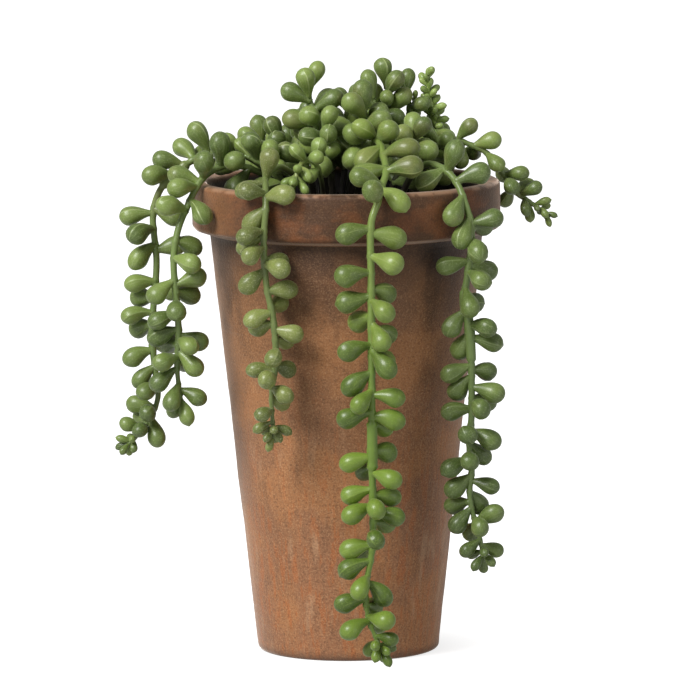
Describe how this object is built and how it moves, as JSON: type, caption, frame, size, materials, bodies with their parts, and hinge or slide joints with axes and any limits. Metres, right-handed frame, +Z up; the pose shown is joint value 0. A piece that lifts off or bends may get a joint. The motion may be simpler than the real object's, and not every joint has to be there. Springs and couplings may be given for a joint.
{
  "type": "potted string of pearls",
  "caption": "Trailing succulent with plump club-shaped leaves, its leafy strands hanging over the rim of a tall tapered clay pot.",
  "frame": {"origin": "centre of the pot's flat foot, on the surface it stands on", "axes": "+Z up along the pot's axis, -Y towards the front, +X to the right seen from the front"},
  "size_m": [0.2031, 0.1801, 0.2708],
  "materials": {
    "clay": "weathered unglazed terracotta, orange-brown with a dark patina below the rim",
    "soil": "dark, light peat and bark potting mix, as dense as wood",
    "leaf": "fleshy green leaves and stems, satin, as dense as water",
    "grey_leaf": "fleshy grey-green leaves and stems, satin with a pale bloom",
    "young_leaf": "young yellow-green leaves and stems, satin"
  },
  "bodies": {
    "root": {"pot": "clay", "soil": "soil", "strand_front": "leaf", "strand_front_left": "grey_leaf", "strand_right": "leaf", "strand_left_inner": "leaf", "strand_left_outer": "leaf", "strand_far_right": "leaf", "shoot_top_left": "leaf", "shoot_top_left_back": "leaf", "shoot_top_middle": "leaf", "shoot_top_right": "leaf", "shoot_far_right": "leaf", "shoot_buds": "young_leaf", "shoot_buds_left": "young_leaf", "shoot_middle": "leaf", "shoot_middle_left": "leaf", "shoot_left": "leaf", "shoot_left_back": "leaf", "shoot_far_left": "leaf", "shoot_pale": "young_leaf", "shoot_right": "leaf", "shoot_right_back": "leaf", "back_shoot_far_left": "leaf", "back_shoot_left": "leaf", "back_shoot_middle": "leaf", "back_shoot_right": "leaf", "back_shoot_far_right": "leaf", "back_strand_left": "leaf", "back_strand_right": "leaf", "back_strand_middle": "leaf"}
  },
  "joints": []
}
